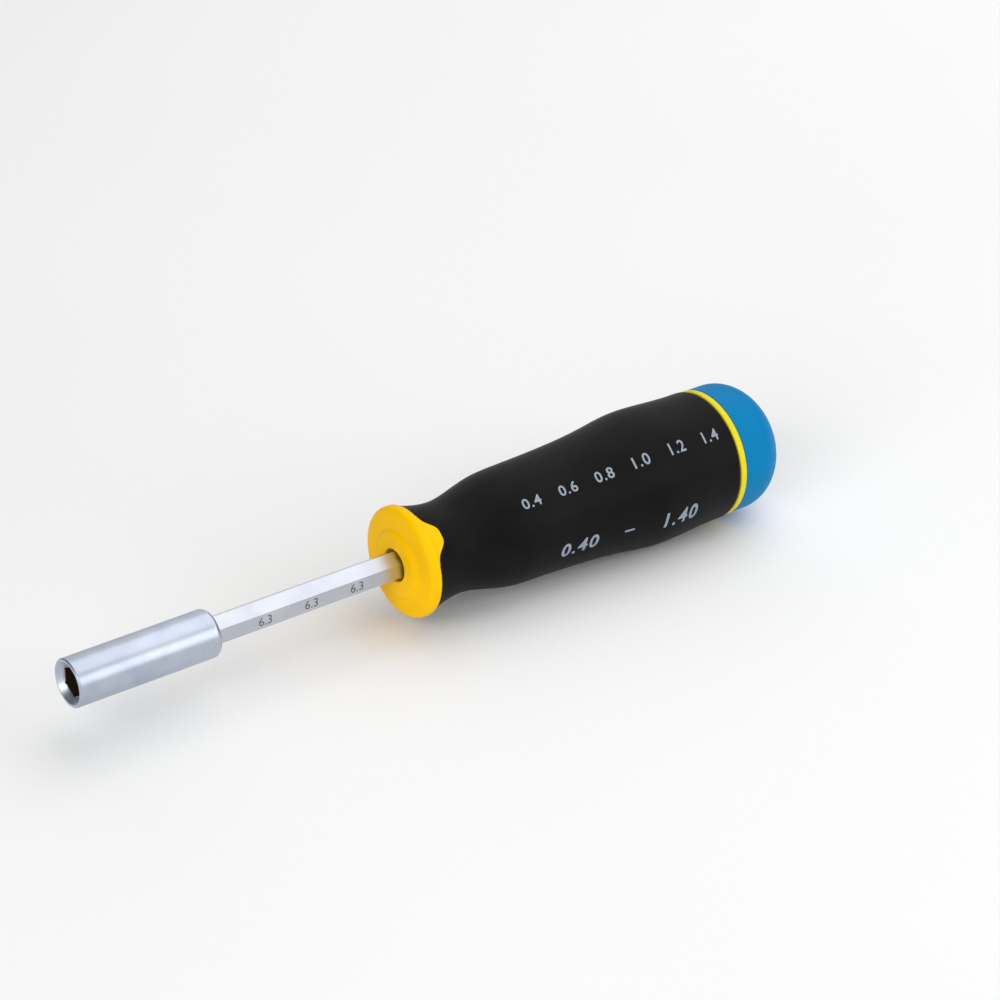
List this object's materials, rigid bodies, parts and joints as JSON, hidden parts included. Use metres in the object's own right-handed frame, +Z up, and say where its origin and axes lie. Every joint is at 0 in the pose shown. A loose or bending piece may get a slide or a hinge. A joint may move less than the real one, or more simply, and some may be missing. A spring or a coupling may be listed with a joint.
{
  "type": "torque screwdriver",
  "caption": "Adjustable click-type torque screwdriver: bit-holder sleeve on a hexagon blade, flanged soft-grip handle and a domed setting cap.",
  "frame": {"origin": "on the surface that the tool lies on, under the middle of its box", "axes": "+X along the tool from its tip to its cap, +Z up, the tool lying level"},
  "size_m": [0.1872, 0.0322, 0.0322],
  "materials": {
    "satin_chrome": "satin chrome plate on turned steel",
    "drawn_chrome": "bright chrome plate on drawn hexagon steel",
    "nickel_plate": "polished",
    "spring_steel": "drawn spring wire",
    "turned_steel": "turned and oiled",
    "black_oxide": "black oxide",
    "bronze": "sintered bronze",
    "yellow_plastic": "moulded, satin",
    "lemon_plastic": "moulded, satin",
    "blue_plastic": "moulded, fine satin",
    "black_grip": "soft thermoplastic, fine satin",
    "seal_rubber": "moulded",
    "white_ink": "pad-printed",
    "pale_blue_ink": "pad-printed",
    "laser_mark": "laser-annealed mark"
  },
  "bodies": {
    "handle": {"handle_core": "yellow_plastic", "grip": "black_grip", "mark_ring": "lemon_plastic", "end_cap": "blue_plastic", "housing_tube": "turned_steel", "front_bush": "bronze", "front_thrust_washer": "turned_steel", "torque_spring": "spring_steel", "rear_thrust_washer": "turned_steel", "rear_plug": "turned_steel", "rear_circlip": "spring_steel"},
    "output": {"spindle": "turned_steel", "blade_retaining_ring": "spring_steel"},
    "blade_unit": {"blade": "drawn_chrome", "bit_sleeve": "satin_chrome", "bit_magnet": "nickel_plate", "bit_retaining_ring": "spring_steel"},
    "clutch_carriage": {"clutch_disc": "turned_steel", "clutch_balls": "nickel_plate", "spring_washer": "turned_steel"},
    "rotor": {"setting_rotor": "black_oxide", "rotor_o_ring": "seal_rubber", "adjusting_screw": "turned_steel"},
    "spring_seat": {"spring_seat_nut": "bronze"}
  },
  "joints": [
    {"name": "clutch_slip", "type": "hinge", "parent": "handle", "child": "output", "pos_m": [0, 0, 0.016], "axis": [1, 0, 0], "continuous": true},
    {"name": "blade_pull", "type": "slide", "parent": "output", "child": "blade_unit", "axis": [-1, 0, 0], "range_m": [0, 0.012]},
    {"name": "clutch_lift", "type": "slide", "parent": "handle", "child": "clutch_carriage", "axis": [1, 0, 0], "range_m": [0, 0.0005], "stiffness_N_per_m": 20000, "springref_m": -0.0008, "deforming": ["torque_spring"]},
    {"name": "torque_adjust", "type": "hinge", "parent": "handle", "child": "rotor", "pos_m": [0, 0, 0.016], "axis": [-1, 0, 0], "range_deg": [0, 240]},
    {"name": "spring_seat_travel", "type": "slide", "parent": "handle", "child": "spring_seat", "axis": [-1, 0, 0], "range_m": [0, 0.002], "deforming": ["torque_spring"]}
  ],
  "couplings": [
    {"joint": "spring_seat_travel", "follows": "torque_adjust", "m_per_rad": 0.00047746}
  ]
}
